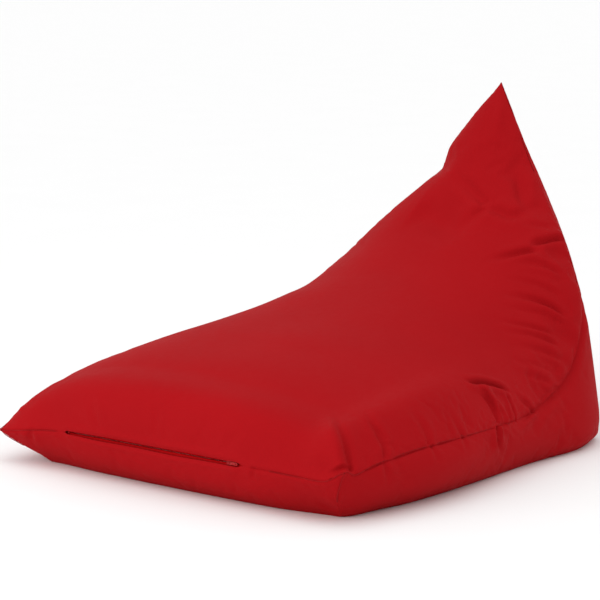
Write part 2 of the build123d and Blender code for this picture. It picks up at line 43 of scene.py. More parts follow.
# ------------------------------------------------------------------ camera
W = 1.05                      # ear to ear, metres
YS = 0.6435                   # front seam to the middle of the bag
AZ, EL, DIST = math.radians(40.504), math.radians(8.84), 5.769 * W
TGT = np.array([-.037 * W, .5 * W - YS, .36 * W])
BACKV = np.array([math.sin(AZ) * math.cos(EL), -math.cos(AZ) * math.cos(EL), math.sin(EL)])
RIGHT = np.array([math.cos(AZ), math.sin(AZ), 0.0])
UP = np.cross(BACKV, RIGHT)
EYE = TGT + BACKV * DIST
FPX = 2500.0                  # focal length in pixels of a 600 px frame

cam_data = bpy.data.cameras.new("camera")
cam_data.sensor_width = 36.0
cam_data.sensor_fit = "HORIZONTAL"
cam_data.lens = 36.0 * FPX / 600.0
cam_data.clip_end = 100
cam = bpy.data.objects.new("camera", cam_data)
scene.collection.objects.link(cam)
cam.location = EYE
cam.rotation_euler = Vector(-BACKV).to_track_quat("-Z", "Y").to_euler()
scene.camera = cam


def pixel(p):
    """where points fall in the 600 by 600 frame"""
    q = np.asarray(p) - EYE
    z = q @ (-BACKV)
    return np.stack([300 + FPX * (q @ RIGHT) / z, 300 - FPX * (q @ UP) / z], -1)


# ------------------------------------------------------------- bag's shape
VK = np.array([0, .05, .16, .34, .52, .64, .74, .79, .84, .93, 1.0])
SEAT_SEAM = np.array([[.500, .000, .088], [.505, .060, .108], [.511, .180, .124],
                      [.512, .350, .129], [.488, .565, .125], [.440, .785, .128],
                      [.408, .968, .205], [.3815, 1.0525, .3066], [.306, 1.092, .425], [.145, 1.155, .615],
                      [.0, 1.219, .836]])
CROWN = np.array([[-.006, .0945], [.000, .188], [.120, .250], [.326, .297],
                  [.566, .338], [.767, .394], [.898, .455], [.9463, .4842], [.990, .520],
                  [1.075, .620], [1.219, .836]])
EDGE = np.array([[.404, .062, .0], [.432, .105, .0], [.460, .220, .0],
                 [.462, .420, .0], [.444, .660, .0], [.420, .900, .0],
                 [.385, 1.080, .0], [.366, 1.1178, .0969], [.330, 1.140, .262], [.182, 1.190, .516],
                 [.0, 1.219, .836]])
SIDE_BULGE = np.array([.0, .02, .03, .034, .022, .030, .036, .020, .006, .003, .0])
BACK_BULGE = np.array([0, .05, .07, .04, 0])
FRONT_BULGE = .016
HALF = np.pi / 2
ZIP_X0, ZIP_X1 = -.309, .250


def smooth(t):
    t = np.clip(t, 0, 1)
    return t * t * (3 - 2 * t)


def spline(vk, pk, v, monotone=False):
    pk = np.asarray(pk, float)
    flat = pk.ndim == 1
    if flat:
        pk = pk[:, None]
    v = np.asarray(v, float)
    n = len(vk)
    d = np.diff(pk, axis=0) / np.diff(vk)[:, None]
    m = np.zeros_like(pk)
    m[0], m[-1] = d[0], d[-1]
    for i in range(1, n - 1):
        h0, h1 = vk[i] - vk[i - 1], vk[i + 1] - vk[i]
        m[i] = (h1 * d[i - 1] + h0 * d[i]) / (h0 + h1)
        if monotone:
            m[i] = np.where(d[i - 1] * d[i] <= 1e-12, 0, m[i])
    i = np.clip(np.searchsorted(vk, v, side="right") - 1, 0, n - 2)
    h = vk[i + 1] - vk[i]
    t = ((v - vk[i]) / h)[..., None]
    h = h[..., None]
    r = ((2 * t**3 - 3 * t**2 + 1) * pk[i] + (t**3 - 2 * t**2 + t) * h * m[i]
         + (-2 * t**3 + 3 * t**2) * pk[i + 1] + (t**3 - t**2) * h * m[i + 1])
    return r[..., 0] if flat else r


def place(p):
    return p * W - np.array([0, YS, 0])


def line_s(v):
    return spline(VK, SEAT_SEAM, v)


def line_c(v):
    return spline(VK, CROWN, v)


def line_e(v):
    v = np.asarray(v, float)
    e = spline(VK, EDGE, v)
    e[..., 2] = spline(VK, EDGE[:, 2], v, True)
    f = np.clip((.985 - v) / .075, 0, 1)[..., None]
    f = f * f * (3 - 2 * f)
    return line_s(v) * (1 - f) + e * f


def seat_at(a, v):
    a, v = np.broadcast_arrays(np.asarray(a, float), np.asarray(v, float))
    u = np.sin(a)
    pr = np.clip(1 - np.abs(u)**2.3, 0, 1)**.62
    s, c = line_s(v), line_c(v)
    return place(np.stack([s[..., 0] * u, s[..., 1] + (c[..., 0] - s[..., 1]) * pr,
                           s[..., 2] + (c[..., 1] - s[..., 2]) * pr], -1))


def side_at(w, v):
    w, v = np.broadcast_arrays(np.asarray(w, float), np.asarray(v, float))
    s, e = line_s(v), line_e(v)
    p = s * (1 - w)[..., None] + e * w[..., None]
    d = 1e-3
    t = line_s(np.clip(v + d, 0, 1)) - line_s(np.clip(v - d, 0, 1))
    n = np.stack([t[..., 1], -t[..., 0], 0 * t[..., 0]], -1)
    n /= np.maximum(np.linalg.norm(n, axis=-1, keepdims=True), 1e-9)
    b = spline(VK, SIDE_BULGE, v)[..., None]
    return place(p + n * b * (np.clip(4 * w * (1 - w), 0, 1)[..., None])**.9)


def front_at(u, w):
    u, w = np.broadcast_arrays(np.asarray(u, float), np.asarray(w, float))
    a = np.arcsin(np.clip(u, -1, 1))
    top = seat_at(a, 0 * a)
    low = place(np.stack([EDGE[0, 0] * u, EDGE[0, 1] - .010 * (1 - u**2), 0 * u], -1))
    p = top * (1 - w)[..., None] + low * w[..., None]
    p[..., 1] -= FRONT_BULGE * W * 4 * w * (1 - w) * (1 - u**4)
    return p


def back_at(u, v):
    u, v = np.broadcast_arrays(np.asarray(u, float), np.asarray(v, float))
    e = line_e(VK[6] + (1 - VK[6]) * v)
    b = spline(np.linspace(0, 1, 5), BACK_BULGE, v)
    pr = np.clip(1 - np.abs(u)**2.2, 0, 1)**.8
    return place(np.stack([e[..., 0] * u, e[..., 1] + b * pr, e[..., 2]], -1))


# one closed skin: panels share their seam vertices
NU, NW = 121, 15
vv = np.linspace(0, 1, 4000)
step = (np.linalg.norm(np.diff(line_s(vv), axis=0), axis=1)
        + np.linalg.norm(np.diff(line_c(vv), axis=0), axis=1))
arc = np.concatenate([[0], np.cumsum(step)])
k74 = float(np.interp(VK[6], vv, arc))
n_low, n_high = 104, 62
ROWS = np.concatenate([np.interp(np.linspace(0, k74, n_low + 1), arc, vv),
                       np.interp(np.linspace(k74, arc[-1], n_high + 1), arc, vv)[1:]])
ROWS[n_low] = VK[6]
ROWS[-1] = 1.0
NV = len(ROWS)
ANG = np.linspace(-HALF, HALF, NU)
UCOL = np.sin(ANG)
WROW = .5 - .5 * np.cos(np.linspace(0, 1, NW) * np.pi)
WROW = .5 * WROW + .5 * np.linspace(0, 1, NW)

g_seat = seat_at(ANG[:, None], ROWS[None])
g_right = side_at(WROW[:, None], ROWS[None])
g_right[0] = g_seat[-1]
g_front = front_at(UCOL[:, None], WROW[None])
g_front[:, 0] = g_seat[:, 0]
g_front[-1] = g_right[:, 0]
g_front[0] = g_right[:, 0] * np.array([-1, 1, 1])
g_left = g_right * np.array([-1, 1, 1])
g_back = back_at(UCOL[:, None], ((ROWS[n_low:] - VK[6]) / (1 - VK[6]))[None])
g_back[-1] = g_right[-1, n_low:]
g_back[0] = g_left[-1, n_low:]
t = np.linspace(0, 1, n_low + 1)
xr = g_right[-1, :n_low + 1]
g_base = np.zeros((NU, n_low + 1, 3))
g_base[..., 0] = UCOL[:, None] * xr[None, :, 0]
g_base[..., 1] = xr[None, :, 1] + (1 - t)[None]**3 * (g_front[:, -1, 1] - xr[0, 1])[:, None]
g_base[:, 0] = g_front[:, -1]
g_base[:, -1] = g_back[:, 0]
g_base[0], g_base[-1] = g_left[-1, :n_low + 1], g_right[-1, :n_low + 1]

PANELS = [("seat_panel", g_seat, False), ("right_side_panel", g_right, False),
          ("left_side_panel", g_left, True), ("front_band", g_front, True),
          ("back_panel", g_back, True), ("base_panel", g_base, True)]
pos, quads, pid, seen = [], [], [], {}
index = {}
for k, (name, g, flip) in enumerate(PANELS):
    n, m, _ = g.shape
    idx = np.zeros((n, m), int)
    for i in range(n):
        for j in range(m):
            key = tuple(np.round(g[i, j] * 2e5).astype(int))
            if key not in seen:
                seen[key] = len(pos)
                pos.append(g[i, j])
            idx[i, j] = seen[key]
    index[name] = idx
    for i in range(n - 1):
        for j in range(m - 1):
            q = [idx[i, j], idx[i + 1, j], idx[i + 1, j + 1], idx[i, j + 1]]
            if flip:
                q = q[::-1]
            u = []
            for x in q:
                if x not in u:
                    u.append(x)
            if len(u) >= 3:
                quads.append(u)
                pid.append(k)
pos = np.array(pos)
pid = np.array(pid)


def mesh_object(name, verts, faces, smooth_shade=True):
    me = bpy.data.meshes.new(name)
    me.from_pydata([tuple(p) for p in verts], [], [tuple(f) for f in faces])
    me.validate()
    me.update()
    if smooth_shade:
        me.polygons.foreach_set("use_smooth", [True] * len(me.polygons))
    ob = bpy.data.objects.new(name, me)
    scene.collection.objects.link(ob)
    return ob


def coords(me):
    c = np.empty(len(me.vertices) * 3)
    me.vertices.foreach_get("co", c)
    return c.reshape(-1, 3)


def vnormals(me):
    c = np.empty(len(me.vertices) * 3)
    me.vertex_normals.foreach_get("vector", c)
    return c.reshape(-1, 3)


def set_coords(me, c):
    me.vertices.foreach_set("co", np.ascontiguousarray(c, float).ravel())
    me.update()


skin = mesh_object("skin", pos, quads)
print("skin", len(pos), len(quads))

# seam vertices: where faces of two panels meet
vp = [set() for _ in range(len(pos))]
for f, k in zip(quads, pid):
    for x in f:
        vp[x].add(int(k))
seam = np.array([len(s) > 1 for s in vp])


# ------------------------------------------------------- cloth over filling
NAMES = [n for n, _, _ in PANELS]
LOW = n_low
S_ROW = np.full(len(pos), -1.0)
for nm in ("seat_panel", "right_side_panel", "left_side_panel"):
    S_ROW[index[nm].ravel()] = np.tile(ROWS, index[nm].shape[0])
S_ROW[index["back_panel"].ravel()] = np.tile(ROWS[n_low:], NU)


def seam_distance(p, ids):
    """distance of every vertex to the nearest of the given seam vertices"""
    from mathutils.kdtree import KDTree
    kd = KDTree(len(ids))
    for n, i in enumerate(ids):
        kd.insert(p[i], n)
    kd.balance()
    return np.array([kd.find(q)[2] for q in p])


def wave3(p, k, seed):
    """smooth random field from a few plane waves"""
    r = np.random.default_rng(seed)
    out = 0
    for _ in range(9):
        d = r.normal(size=3)
        d /= np.linalg.norm(d)
        out = out + np.sin(p @ d * k * r.uniform(.6, 1.5) + r.uniform(0, 6.3))
    return out / 3.0


def simulate(ob, pin, shrink, lo, hi, frames, pressure, bend=.5):
    vg = ob.vertex_groups.new(name="pin")
    vs = ob.vertex_groups.new(name="shrink")
    for i in range(len(pin)):
        if pin[i] > 0:
            vg.add([i], float(pin[i]), "REPLACE")
        vs.add([i], float(shrink[i]), "REPLACE")
    m = ob.modifiers.new("cloth", "CLOTH")
    c = m.settings
    c.quality = 5
    c.mass = .15
    c.air_damping = 2.0
    c.tension_stiffness = 25
    c.compression_stiffness = 25
    c.shear_stiffness = 8
    c.bending_stiffness = bend
    c.tension_damping = c.compression_damping = 12
    c.shear_damping = 8
    c.bending_damping = .5
    c.vertex_group_mass = "pin"
    c.pin_stiffness = 1.0
    c.use_pressure = True
    c.uniform_pressure_force = pressure
    c.vertex_group_shrink = "shrink"
    c.shrink_min, c.shrink_max = lo, hi
    c.effector_weights.gravity = 0
    m.point_cache.frame_start, m.point_cache.frame_end = 1, frames
    for f in range(1, frames + 1):
        scene.frame_set(f)
    dg = bpy.context.evaluated_depsgraph_get()
    ev = ob.evaluated_get(dg)
    me = ev.to_mesh()
    out = coords(me).copy()
    ev.to_mesh_clear()
    ob.modifiers.remove(m)
    scene.frame_set(1)
    return out


import time
t0 = time.time()
ids = np.nonzero(seam)[0]
dist = seam_distance(pos, ids)
tall = np.where(S_ROW > .9, 1, 0)
pin = .025 + .30 * smooth((dist - .07) / .16)
pin += .14 * (1 - smooth((S_ROW - .30) / .25)) * (1 - smooth((dist - .07) / .16))
pin[dist < .004] = .75
pin[S_ROW > .955] = 1
pin[pos[:, 2] < .004] = 1
# cloth a little long beside the seams, most of all round the bend of the back
loose = .12 + .34 * smooth((S_ROW - .34) / .24)
loose *= 1 - .75 * smooth((S_ROW - .80) / .10)
loose *= np.where(pos[:, 0] < 0, .18, 1.0)
for n_ in ("right_side_panel", "left_side_panel"):
    k_ = index[n_][1:]
    loose[k_] *= .6 * (1 - .8 * smooth((np.broadcast_to(ROWS, k_.shape) - .62) / .12))
loose[index["back_panel"][1:-1].ravel()] *= .3
loose[index["front_band"].ravel()] = .12
loose[index["base_panel"].ravel()] = 0
shrink = .5 - .5 * loose * np.exp(-((dist - .045) / .05)**2) * np.clip(.65 + .5 * wave3(pos, 11, 3), 0, 1)
shrink[dist < .004] = .55
shrink = np.clip(shrink, 0, 1)
sim = simulate(skin, pin, shrink, -.045, .045, 14, 1.6, .25)
move = sim - pos
ln = np.linalg.norm(move, axis=1, keepdims=True)
print("cloth moved", ln.mean(), ln.max(), "seconds", time.time() - t0)
move *= np.minimum(1, .03 / np.maximum(ln, 1e-9))
pos = pos + move
pos[:, 2] = np.maximum(pos[:, 2], 0)
set_coords(skin.data, pos)

# ------------------------------------------------------ fine panels to work
def upsample(g, axis, t):
    """cubic reading of a grid at fractional places along one axis"""
    g = np.moveaxis(g, axis, 0)
    n = g.shape[0]
    i = np.clip(np.floor(t).astype(int), 0, n - 2)
    f = (t - i).reshape((-1,) + (1,) * (g.ndim - 1))
    p0, p1 = g[np.maximum(i - 1, 0)], g[i]
    p2, p3 = g[i + 1], g[np.minimum(i + 2, n - 1)]
    out = p1 + .5 * f * (p2 - p0 + f * (2 * p0 - 5 * p1 + 4 * p2 - p3 + f * (3 * (p1 - p2) + p3 - p0)))
    return np.moveaxis(out, 0, axis)


def ends(n, fine=(.10, .26, .5, .75), s=.5):
    mid = np.arange(1, n - 2 + 1e-6, s)
    return np.concatenate([[0], fine, mid, [n - 1 - q for q in fine[::-1]], [n - 1]])


def steps(a, b, s):
    return np.linspace(a, b, int(round((b - a) / s)) + 1)[:-1]


# closer rows and columns where the cloth is gathered
ra, rb = (int(np.searchsorted(ROWS, q)) for q in (.43, .60))
rows_f = np.concatenate([[0, .10, .26, .5, .75], steps(1, ra, .5), steps(ra, rb, .34), steps(rb, n_low, .5), steps(n_low, NV - 1, .5), [NV - 1]])
j74 = int(np.nonzero(np.abs(rows_f - n_low) < 1e-6)[0][0])
cols_f = np.concatenate([[0, .10, .26, .5, .75], steps(1, 61, .667), steps(61, 91, .5), steps(91, 119, .34), [119, 119.25, 119.5, 119.74, 119.9, 120]])
w_f = ends(NW)
coarse = {n: pos[index[n]] for n in NAMES}
fine = {}
fine["seat_panel"] = upsample(upsample(coarse["seat_panel"], 0, cols_f), 1, rows_f)
for n in ("right_side_panel", "left_side_panel"):
    fine[n] = upsample(upsample(coarse[n], 0, w_f), 1, rows_f)
fine["front_band"] = upsample(upsample(coarse["front_band"], 0, cols_f), 1, w_f)
back_rows = rows_f[j74:] - n_low
fine["back_panel"] = upsample(upsample(coarse["back_panel"], 0, cols_f), 1, back_rows)
# neighbours take the very same seam points
S_, R_, L_, F_, B_ = (fine[n] for n in ("seat_panel", "right_side_panel", "left_side_panel", "front_band", "back_panel"))
R_[0], L_[0] = S_[-1], S_[0]
F_[:, 0] = S_[:, 0]
F_[-1], F_[0] = R_[:, 0], L_[:, 0]
B_[-1], B_[0] = R_[-1, j74:], L_[-1, j74:]
# the floor panel: the edge, a ring inside it and a flat middle
loop = np.concatenate([F_[:, -1], R_[-1, 1:j74 + 1], B_[-2:0:-1, 0], L_[-1, j74:0:-1]])
P, FACES, PID, IDX = [], [], [], {}
allp = np.concatenate([fine[n].reshape(-1, 3) for n in NAMES[:5]])
key = np.round(allp * 1e6).astype(np.int64)
_, first, inv = np.unique(key, axis=0, return_index=True, return_inverse=True)
inv = inv.ravel()
P = allp[first].copy()
o = 0
for k, (n, _, flip) in enumerate(PANELS[:5]):
    a, b = fine[n].shape[:2]
    IDX[n] = inv[o:o + a * b].reshape(a, b)
    o += a * b
    q = np.stack([IDX[n][:-1, :-1], IDX[n][1:, :-1], IDX[n][1:, 1:], IDX[n][:-1, 1:]], -1).reshape(-1, 4)
    FACES.append(q[:, ::-1] if flip else q)
    PID.append(np.full(len(q), k))
FACES = np.concatenate(FACES)
PID = np.concatenate(PID)


def all_normals(p):
    fn = np.cross(p[FACES[:, 2]] - p[FACES[:, 0]], p[FACES[:, 3]] - p[FACES[:, 1]])
    n = np.zeros_like(p)
    for k in range(4):
        np.add.at(n, FACES[:, k], fn)
    return n / np.maximum(np.linalg.norm(n, axis=1, keepdims=True), 1e-12)


print("fine", len(P))
PANEL_OF = {n: np.unique(IDX[n]) for n in NAMES[:5]}
MPP = DIST / FPX                      # metres per pixel at the bag


# ------------------------------------------------------- shaping at listed places
from mathutils.kdtree import KDTree


def warp(controls):
    """moves the cloth near some outline points across the picture plane"""
    global P
    px = pixel(P)
    move = np.zeros_like(P)
    for (x0, y0), (x1, y1), sig in controls:
        i = int(np.argmin((px[:, 0] - x0)**2 + (px[:, 1] - y0)**2))
        v = ((x1 - x0) * RIGHT - (y1 - y0) * UP) * MPP
        w = np.exp(-((P - P[i])**2).sum(1) / (2 * sig * sig))
        move += w[:, None] * v
    P = P + move


def trim_outline(pts, right, reach):
    """brings the bag's outline on one side to a line of points in the picture"""
    global P
    pts = np.asarray(pts, float)
    px = pixel(P)
    ys = np.arange(pts[0, 1] - 2, pts[-1, 1] + 6, 1.0)
    sg = 1 if right else -1
    ext = np.full(len(ys), np.nan)
    for n, y in enumerate(ys):
        k = np.abs(px[:, 1] - y) < 1.4
        if k.any():
            ext[n] = sg * (sg * px[k, 0]).max()
    ok = ~np.isnan(ext)
    ext = np.interp(ys, ys[ok], ext[ok])
    tgt = np.interp(ys, pts[:, 1], pts[:, 0])
    dx = np.clip(tgt - ext, -14, 14)
    fade = smooth((ys - pts[0, 1] + 2) / 4) * smooth((pts[-1, 1] + 4 - ys) / 10)
    dx = np.convolve(np.pad(dx * fade, 1, mode="edge"), [.25, .5, .25], "valid")
    d = np.interp(px[:, 1], ys, dx, left=0, right=0)
    e = np.interp(px[:, 1], ys, ext)
    far = np.array([(-sg * (-sg * px[np.abs(px[:, 1] - y) < 2.5, 0]).max()) if (np.abs(px[:, 1] - y) < 2.5).any() else e_ for y, e_ in zip(ys, ext)])
    rc = np.minimum(reach, .40 * np.abs(ext - far) + .8)
    w = np.exp(-((px[:, 0] - e) / np.interp(px[:, 1], ys, rc))**2)
    P = P + (d * w * MPP)[:, None] * RIGHT


def on_cloth(panel, pts):
    ids = PANEL_OF[panel]
    face = NRM[ids] @ BACKV > -.05
    ids = ids[face]
    px = pixel(P[ids])
    return np.array([ids[int(np.argmin(((px - q)**2).sum(1)))] for q in np.asarray(pts, float)])


def curve(points, n=None):
    """smooth line through points"""
    p = np.asarray(points, float)
    ln = np.linalg.norm(np.diff(p, axis=0), axis=1).sum()
    n = n or max(8, int(ln / .003))
    return upsample(p, 0, np.linspace(0, len(p) - 1, n))


def crease(panel, pts, depth, width, ridge=0, off=.013, rw=.010, ridge2=None, mirror=.45, lead=.75, end=.06, flare=1.1, reach=.09):
    """a fold along a line drawn over the picture, from where it fades in to
    where it is deepest: a valley with a shoulder either side"""
    ids = on_cloth(panel, pts)
    base = P[ids]
    for sx, gain in ((1, 1.0), (-1, mirror)):
        if gain == 0:
            continue
        ln = curve(base * np.array([sx, 1, 1]))
        tan = np.gradient(ln, axis=0)
        tan /= np.maximum(np.linalg.norm(tan, axis=1, keepdims=True), 1e-9)
        kd = KDTree(len(ln))
        for n, q in enumerate(ln):
            kd.insert(q, n)
        kd.balance()
        lo, hi = ln.min(0) - reach, ln.max(0) + reach
        near = np.nonzero(((P > lo) & (P < hi)).all(1))[0]
        hit = [(i, n, d) for i, (_, n, d) in ((i, kd.find(P[i])) for i in near) if d < reach]
        if not hit:
            continue
        i = np.array([q[0] for q in hit])
        n = np.array([q[1] for q in hit])
        d = np.array([q[2] for q in hit])
        s = n / (len(ln) - 1)
        # past either end the fold closes within its own width
        over = np.einsum("ij,ij->i", P[i] - ln[n], tan[n])
        over = np.where((n == 0) | (n == len(ln) - 1), np.abs(over), 0)
        tp = smooth(s / lead) * smooth((1 - s) / max(end, 1e-3)) if end > 0 else smooth(s / lead)
        tp = tp * np.exp(-(over / .006)**2)
        wd = width * (1 + flare * (1 - s))
        side = np.einsum("ij,ij->i", np.cross(tan[n], P[i] - ln[n]), NRM[i]) * sx
        v = -depth * np.exp(-(d / wd)**2)
        r = np.where(side > 0, ridge, ridge if ridge2 is None else ridge2)
        v = v + r * np.exp(-((d - off * (1 + .6 * flare * (1 - s))) / (rw * (1 + .6 * flare * (1 - s))))**2)
        DISP[i] += gain * tp * v


def bulge(at, vec, sig, both=True):
    """a soft push at a place of the bag, mirrored to the other side"""
    global P
    move = np.zeros_like(P)
    for sx in ((1, -1) if both else (1,)):
        m_ = np.array([sx, 1, 1])
        w = np.exp(-((P - np.array(at) * m_)**2 / (2 * np.array(sig)**2)).sum(1))
        move += w[:, None] * (np.array(vec) * m_)
    P = P + move


NRM = all_normals(P)
# rear corner of the foot
bulge((.455, .355, .0), (.024, 0, 0), (.09, .085, .07))
# the band stands nearly upright; its right corner is pushed out at the floor
P[:, 1] -= .006 * smooth((.095 - P[:, 2]) / .085) * smooth((-.40 - P[:, 1]) / .15) * (1 - smooth((np.abs(P[:, 0]) - .26) / .14))
bulge((.4242, -.578, 0), (.030, .017, 0), (.05, .05, .05), False)
# fuller right shoulder of the seat, squarer towards the front corner
ids = IDX["seat_panel"]
uu = np.sin(np.interp(cols_f, np.arange(NU), ANG))[:, None]
vr = np.interp(rows_f, np.arange(NV), ROWS)[None]
for sg_, amp in ((1, .020), (-1, .004)):
    k_ = amp * np.exp(-((sg_ * uu - .86) / .085)**2) * smooth(vr / .05) * smooth((.62 - vr) / .25)
    P[ids.ravel()] += (NRM[ids] * k_[..., None]).reshape(-1, 3)
NRM = all_normals(P)
# drooping left ear, front right corner
warp([((7, 423), (1.0, 430), .075), ((341, 487), (344, 475), .022), ((499.3, 78.6), (501.3, 82.0), .045), ((254, 305.5), (254, 307.5), .06)])
# the right side panel turns in behind the edge of the back
for n_, sx_ in (("right_side_panel", 1), ("left_side_panel", -1)):
    ids = IDX[n_]
    wv = np.interp(w_f, np.arange(NW), WROW)[:, None]
    k_ = smooth((vr - .775) / .06) * (.35 + .65 * smooth(wv / .2)) * smooth((.93 - vr) / .08)
    mv = np.zeros(len(P))
    mv[ids.ravel()] = (k_ * np.ones(ids.shape)).ravel()
    mv *= 1 if sx_ > 0 else .3
    P = P - (mv * .009)[:, None] * (BACKV * np.array([sx_, 1, 1]) * np.array([1, 1, 0])) - (mv * .005)[:, None] * np.array([sx_, 0, 0])
NRM = all_normals(P)
DISP = np.zeros(len(P))

SEAT, RS = "seat_panel", "right_side_panel"
# front right corner: rounded upright edge, with a fold beside it to the seam
crease(SEAT, [(329, 400), (333, 425), (337, 448), (341, 470)], -.012, .018, 0, mirror=.5, lead=.7, end=.08, flare=.3)
crease(SEAT, [(336, 414), (340, 428), (346, 450), (351, 470)], .0085, .0048, .002, .016, .010, .003, end=0, lead=.5, flare=1.2)
# folds that run down to the seat seam and over it
crease(SEAT, [(364, 404), (370, 418), (378, 433), (384, 448), (384, 461)], .0058, .0045, .0030, .013, .009, .0020, end=.16, lead=.6, flare=1.4)
crease(RS, [(389, 486), (388, 474), (384, 461)], .0050, .0045, .0022, .012, .008, end=.3)
crease(SEAT, [(408, 402), (416, 415), (424, 429), (429, 443)], .0036, .0060, .0020, .015, .010, end=0)
crease(SEAT, [(442, 402), (451, 414), (458, 426), (462, 436)], .0030, .0060, .0016, .015, .011, end=0)
crease(RS, [(440, 466), (436, 456), (431, 447)], .0026, .0050, .0015, .012, .008, end=0)
crease(RS, [(468, 456), (466, 446), (463, 438)], .0022, .0050, .0012, .012, .008, end=0)
# bend of the back: a deep tuck with a pleat of cloth running from it to the seam
crease(SEAT, [(462, 379), (475, 381), (489, 383), (502, 387), (512, 392)], .0125, .0048, .0050, .012, .009, .0075, lead=.35, end=.30, flare=.7)
crease(SEAT, [(478, 386), (491, 394), (501, 407), (507, 424)], -.0070, .0100, 0, lead=.25, end=0, flare=.15)
crease(SEAT, [(476, 389), (486, 397), (493, 409), (498, 425)], .0050, .0048, .0020, .011, .008, .0012, lead=.5, end=.1, flare=.9)
crease(SEAT, [(481, 388), (491, 397), (498, 409), (502.5, 424)], -.0034, .0038, 0, lead=.3, end=.05, flare=.2)
crease(SEAT, [(499, 390), (505.5, 399), (509.5, 410), (512, 424)], -.0028, .0036, 0, lead=.3, end=.05, flare=.2)
crease(SEAT, [(503, 389), (509, 398), (513, 409), (516, 424)], .0065, .0040, .0015, .010, .007, .0030, lead=.35, end=0, flare=.6)
crease(SEAT, [(512, 391), (521, 399), (529, 407), (533, 412)], .0045, .0052, .0026, .012, .008, lead=.5, end=0)
crease(RS, [(505, 458), (500, 444), (497, 428)], .0090, .0045, .0040, .012, .008, .0060, end=0, lead=.6)
crease(RS, [(571, 364), (557, 384), (542, 404), (529, 420), (519, 433)], -.0065, .0060, 0, lead=.35, end=.3, flare=.2)
crease(RS, [(566, 366), (552, 386), (538, 403), (525, 421)], .0050, .0060, 0, lead=.35, end=.3, flare=.2)
crease(RS, [(566, 392), (550, 412), (536, 432)], -.0040, .0140, 0, lead=.4, end=.4, flare=.2)
# shoulder of the back: folds curving in from its edge
crease(SEAT, [(482, 260), (497, 257), (512, 254), (526, 251.5), (540, 250)], .0105, .0064, .0036, .016, .011, .0034, .15, lead=.6, end=.20, flare=.8)
crease(SEAT, [(526, 247), (536, 243.5), (547, 240), (557, 238.5), (566, 239.5)], .0125, .0062, .0046, .015, .011, .0038, .15, lead=.5, end=.30, flare=.4)
for pts_, k_, w_ in (([(496, 263), (516, 261), (532, 262), (547, 266), (563, 275)], .0050, .0080),
                     ([(492, 279), (510, 279), (526, 282), (543, 287), (561, 297)], .0030, .0056),
                     ([(488, 292), (506, 294), (522, 296), (538, 300), (552, 306), (568, 318)], .0066, .0054),
                     ([(484, 303), (504, 306), (524, 310), (546, 315), (568, 327)], .0026, .0046),
                     ([(482, 318), (502, 321), (520, 324), (537, 328), (555, 336)], .0044, .0052),
                     ([(496, 329), (516, 332), (538, 336), (560, 347)], .0036, .0050),
                     ([(504, 344), (524, 347), (545, 352), (562, 361)], .0028, .0054),
                     ([(500, 359), (520, 361), (540, 366), (556, 374)], .0022, .0052),
                     ([(510, 372), (526, 374), (540, 378), (551, 384)], .0026, .0052),
                     ([(512, 224), (530, 224), (548, 228)], .0026, .0080)):
    crease(SEAT, pts_, 1.25 * k_, w_, .8 * k_, .013, .010, mirror=.35, lead=.85, end=.16, flare=.8)
# foot of the tip: a pinch with folds running out of it
crease(SEAT, [(449, 170), (459, 178), (473, 191), (487, 205)], .0060, .0125, .0016, .026, .016, .0030, 0, lead=.6, end=.10, flare=.5)
crease(SEAT, [(537, 200), (524, 212), (508, 215), (490, 207)], .0060, .0110, .0030, .026, .016, .0050, 0, lead=.5, end=.15, flare=.4)
crease(SEAT, [(455, 242), (462, 226), (473, 215), (485, 207)], .0045, .0110, .0025, .024, .016, None, 0, lead=.8, end=.1)
crease(SEAT, [(514, 172), (519, 188), (522, 206)], .0070, .0120, .0050, .026, .014, .0010, 0, lead=.4, end=.25, flare=.2)
# hollow of the back below the far shoulder
crease(SEAT, [(462, 240), (436, 216), (412, 210)], .0150, .0420, 0, mirror=0, lead=.4, end=.3, flare=.2, reach=.14)
# spine of the empty tip
crease(SEAT, [(494, 152), (497, 125), (500, 96)], -.0055, .0100, 0, mirror=0, lead=.6, end=.3, flare=.8)
# small tucks at the left ear and by the zip's end
crease("front_band", [(255, 483), (254, 475), (253, 469)], .0035, .0040, .0015, .010, .007, None, 0, end=0, lead=.6)
crease("front_band", [(31, 445), (30, 437), (31, 431)], .0040, .0055, .0020, .013, .009, None, .6, end=0, lead=.6)
crease(SEAT, [(85, 392), (91, 405), (98, 424)], .0022, .0090, .0015, .020, .014, None, .6, end=0, lead=.8)

# seams: drawn in by the stitching, cloth slightly full either side
fine_seam = np.zeros(len(P), bool)
cnt = np.zeros((len(P), 5), bool)
for k in range(5):
    cnt[np.unique(FACES[PID == k]), k] = True
fine_seam = cnt.sum(1) > 1
fine_seam[np.unique(np.concatenate([IDX["front_band"][:, -1], IDX[RS][-1, :j74 + 1], IDX["left_side_panel"][-1, :j74 + 1], IDX["back_panel"][:, 0]]))] = True
ids = np.nonzero(fine_seam)[0]
kd = KDTree(len(ids))
for n, i in enumerate(ids):
    kd.insert(P[i], n)
kd.balance()
dseam = np.full(len(P), 1.0)
for i in range(len(P)):
    dseam[i] = kd.find(P[i])[2]
row_v = np.full(len(P), -1.0)
for n in (SEAT, RS, "left_side_panel"):
    row_v[IDX[n].ravel()] = np.tile(np.interp(rows_f, np.arange(NV), ROWS), IDX[n].shape[0])
row_v[IDX["back_panel"].ravel()] = np.tile(np.interp(rows_f[j74:], np.arange(NV), ROWS), IDX["back_panel"].shape[0])
ripple = .5 + .5 * wave3(P, 95, 11)
low_part = smooth((P[:, 2] - .004) / .02)
deep = smooth((row_v - .56) / .14) * smooth((.92 - row_v) / .08)
